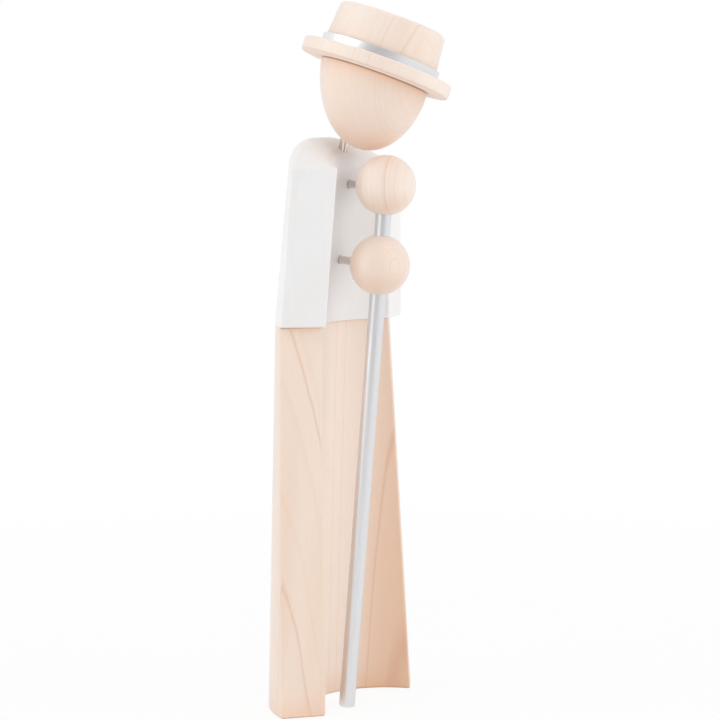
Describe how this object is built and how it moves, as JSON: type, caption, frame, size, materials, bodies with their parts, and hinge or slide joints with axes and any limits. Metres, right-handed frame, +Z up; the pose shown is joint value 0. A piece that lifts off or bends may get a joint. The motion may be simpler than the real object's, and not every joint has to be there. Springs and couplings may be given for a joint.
{
  "type": "nativity shepherd figure",
  "caption": "Pale wooden shepherd figure: hollow-fronted robe, white jacket with sloping shoulders, bowed egg-shaped head that turns, askew hat, and ball hands on a metal staff.",
  "frame": {"origin": "middle of the figure's box, on the plane that the base stands on", "axes": "+Z up, the figure faces -Y, +X to the figure's own left hand"},
  "size_m": [0.109, 0.0908, 0.3531],
  "materials": {
    "bare_wood": "fine-sanded pale maple, bare or thinly oiled",
    "white_lacquer": "satin white lacquer on wood",
    "dowel_wood": "plain beech dowel, hidden",
    "aluminium": "satin turned aluminium",
    "steel": "drawn steel pin, satin"
  },
  "bodies": {
    "figure": {"robe": "bare_wood", "jacket": "white_lacquer", "body_dowel_left": "dowel_wood", "body_dowel_right": "dowel_wood", "upper_hand": "bare_wood", "lower_hand": "bare_wood", "upper_hand_pin": "steel", "lower_hand_pin": "steel", "staff": "aluminium", "neck_pin": "steel"},
    "head": {"head": "bare_wood", "hat": "bare_wood", "hat_band": "aluminium", "hat_peg": "dowel_wood"}
  },
  "joints": [
    {"name": "head_turn", "type": "hinge", "parent": "figure", "child": "head", "pos_m": [0, 0.01377, 0.2791], "axis": [0, -0.1925, 0.9813], "range_deg": [-65, 65]}
  ]
}
